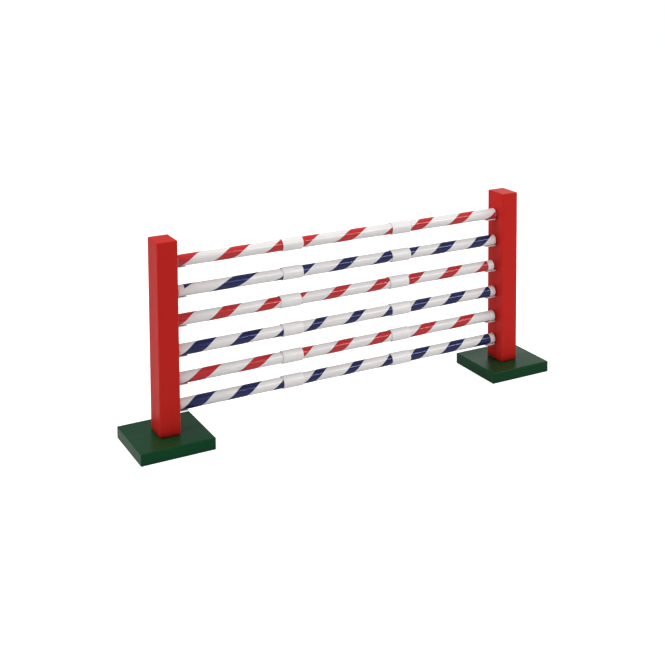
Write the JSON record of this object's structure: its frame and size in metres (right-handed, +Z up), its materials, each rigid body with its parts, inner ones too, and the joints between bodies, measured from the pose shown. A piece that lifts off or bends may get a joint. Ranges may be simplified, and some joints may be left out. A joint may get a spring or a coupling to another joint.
{
  "type": "agility hurdle",
  "caption": "Free-standing low hurdle for small animals: two timber posts on base plates carry striped bars that lift off spoon-shaped rests when knocked.",
  "frame": {"origin": "on the ground, midway between the two stands", "axes": "+X along the bars to the right stand, -Y the front, which the bars are knocked off towards, +Z up"},
  "size_m": [0.796, 0.12, 0.34],
  "materials": {
    "post_paint": "red satin paint on timber",
    "base_paint": "dark green satin paint on timber",
    "tube_plastic": "white gloss tube wound with a glossy coloured tape",
    "sleeve_plastic": "white moulded, slight gloss",
    "plug_plastic": "white moulded",
    "rest_plastic": "white moulded, slight gloss",
    "screw_steel": "zinc plated"
  },
  "bodies": {
    "left_stand": {"left_base": "base_paint", "left_post": "post_paint", "left_base_screw": "screw_steel", "left_rest_1": "rest_plastic", "left_rest_2": "rest_plastic", "left_rest_3": "rest_plastic", "left_rest_4": "rest_plastic", "left_rest_5": "rest_plastic", "left_rest_6": "rest_plastic"},
    "right_stand": {"right_base": "base_paint", "right_post": "post_paint", "right_base_screw": "screw_steel", "right_rest_1": "rest_plastic", "right_rest_2": "rest_plastic", "right_rest_3": "rest_plastic", "right_rest_4": "rest_plastic", "right_rest_5": "rest_plastic", "right_rest_6": "rest_plastic"},
    "bar_1": {"bar_1_middle_tube": "tube_plastic", "bar_1_left_tube": "tube_plastic", "bar_1_left_sleeve": "sleeve_plastic", "bar_1_left_plug": "plug_plastic", "bar_1_right_tube": "tube_plastic", "bar_1_right_sleeve": "sleeve_plastic", "bar_1_right_plug": "plug_plastic"},
    "bar_2": {"bar_2_middle_tube": "tube_plastic", "bar_2_left_tube": "tube_plastic", "bar_2_left_sleeve": "sleeve_plastic", "bar_2_left_plug": "plug_plastic", "bar_2_right_tube": "tube_plastic", "bar_2_right_sleeve": "sleeve_plastic", "bar_2_right_plug": "plug_plastic"},
    "bar_3": {"bar_3_middle_tube": "tube_plastic", "bar_3_left_tube": "tube_plastic", "bar_3_left_sleeve": "sleeve_plastic", "bar_3_left_plug": "plug_plastic", "bar_3_right_tube": "tube_plastic", "bar_3_right_sleeve": "sleeve_plastic", "bar_3_right_plug": "plug_plastic"},
    "bar_4": {"bar_4_middle_tube": "tube_plastic", "bar_4_left_tube": "tube_plastic", "bar_4_left_sleeve": "sleeve_plastic", "bar_4_left_plug": "plug_plastic", "bar_4_right_tube": "tube_plastic", "bar_4_right_sleeve": "sleeve_plastic", "bar_4_right_plug": "plug_plastic"},
    "bar_5": {"bar_5_middle_tube": "tube_plastic", "bar_5_left_tube": "tube_plastic", "bar_5_left_sleeve": "sleeve_plastic", "bar_5_left_plug": "plug_plastic", "bar_5_right_tube": "tube_plastic", "bar_5_right_sleeve": "sleeve_plastic", "bar_5_right_plug": "plug_plastic"},
    "bar_6": {"bar_6_middle_tube": "tube_plastic", "bar_6_left_tube": "tube_plastic", "bar_6_left_sleeve": "sleeve_plastic", "bar_6_left_plug": "plug_plastic", "bar_6_right_tube": "tube_plastic", "bar_6_right_sleeve": "sleeve_plastic", "bar_6_right_plug": "plug_plastic"}
  },
  "joints": [
    {"name": "stand_spacing", "type": "slide", "parent": "left_stand", "child": "right_stand", "axis": [1, 0, 0], "range_m": [-0.001, 0.011]},
    {"name": "bar_1_lift_off", "type": "slide", "parent": "left_stand", "child": "bar_1", "axis": [0, -0.7071, 0.7071], "range_m": [0, 0.1]},
    {"name": "bar_2_lift_off", "type": "slide", "parent": "left_stand", "child": "bar_2", "axis": [0, -0.7071, 0.7071], "range_m": [0, 0.1]},
    {"name": "bar_3_lift_off", "type": "slide", "parent": "left_stand", "child": "bar_3", "axis": [0, -0.7071, 0.7071], "range_m": [0, 0.1]},
    {"name": "bar_4_lift_off", "type": "slide", "parent": "left_stand", "child": "bar_4", "axis": [0, -0.7071, 0.7071], "range_m": [0, 0.1]},
    {"name": "bar_5_lift_off", "type": "slide", "parent": "left_stand", "child": "bar_5", "axis": [0, -0.7071, 0.7071], "range_m": [0, 0.1]},
    {"name": "bar_6_lift_off", "type": "slide", "parent": "left_stand", "child": "bar_6", "axis": [0, -0.7071, 0.7071], "range_m": [0, 0.1]}
  ]
}
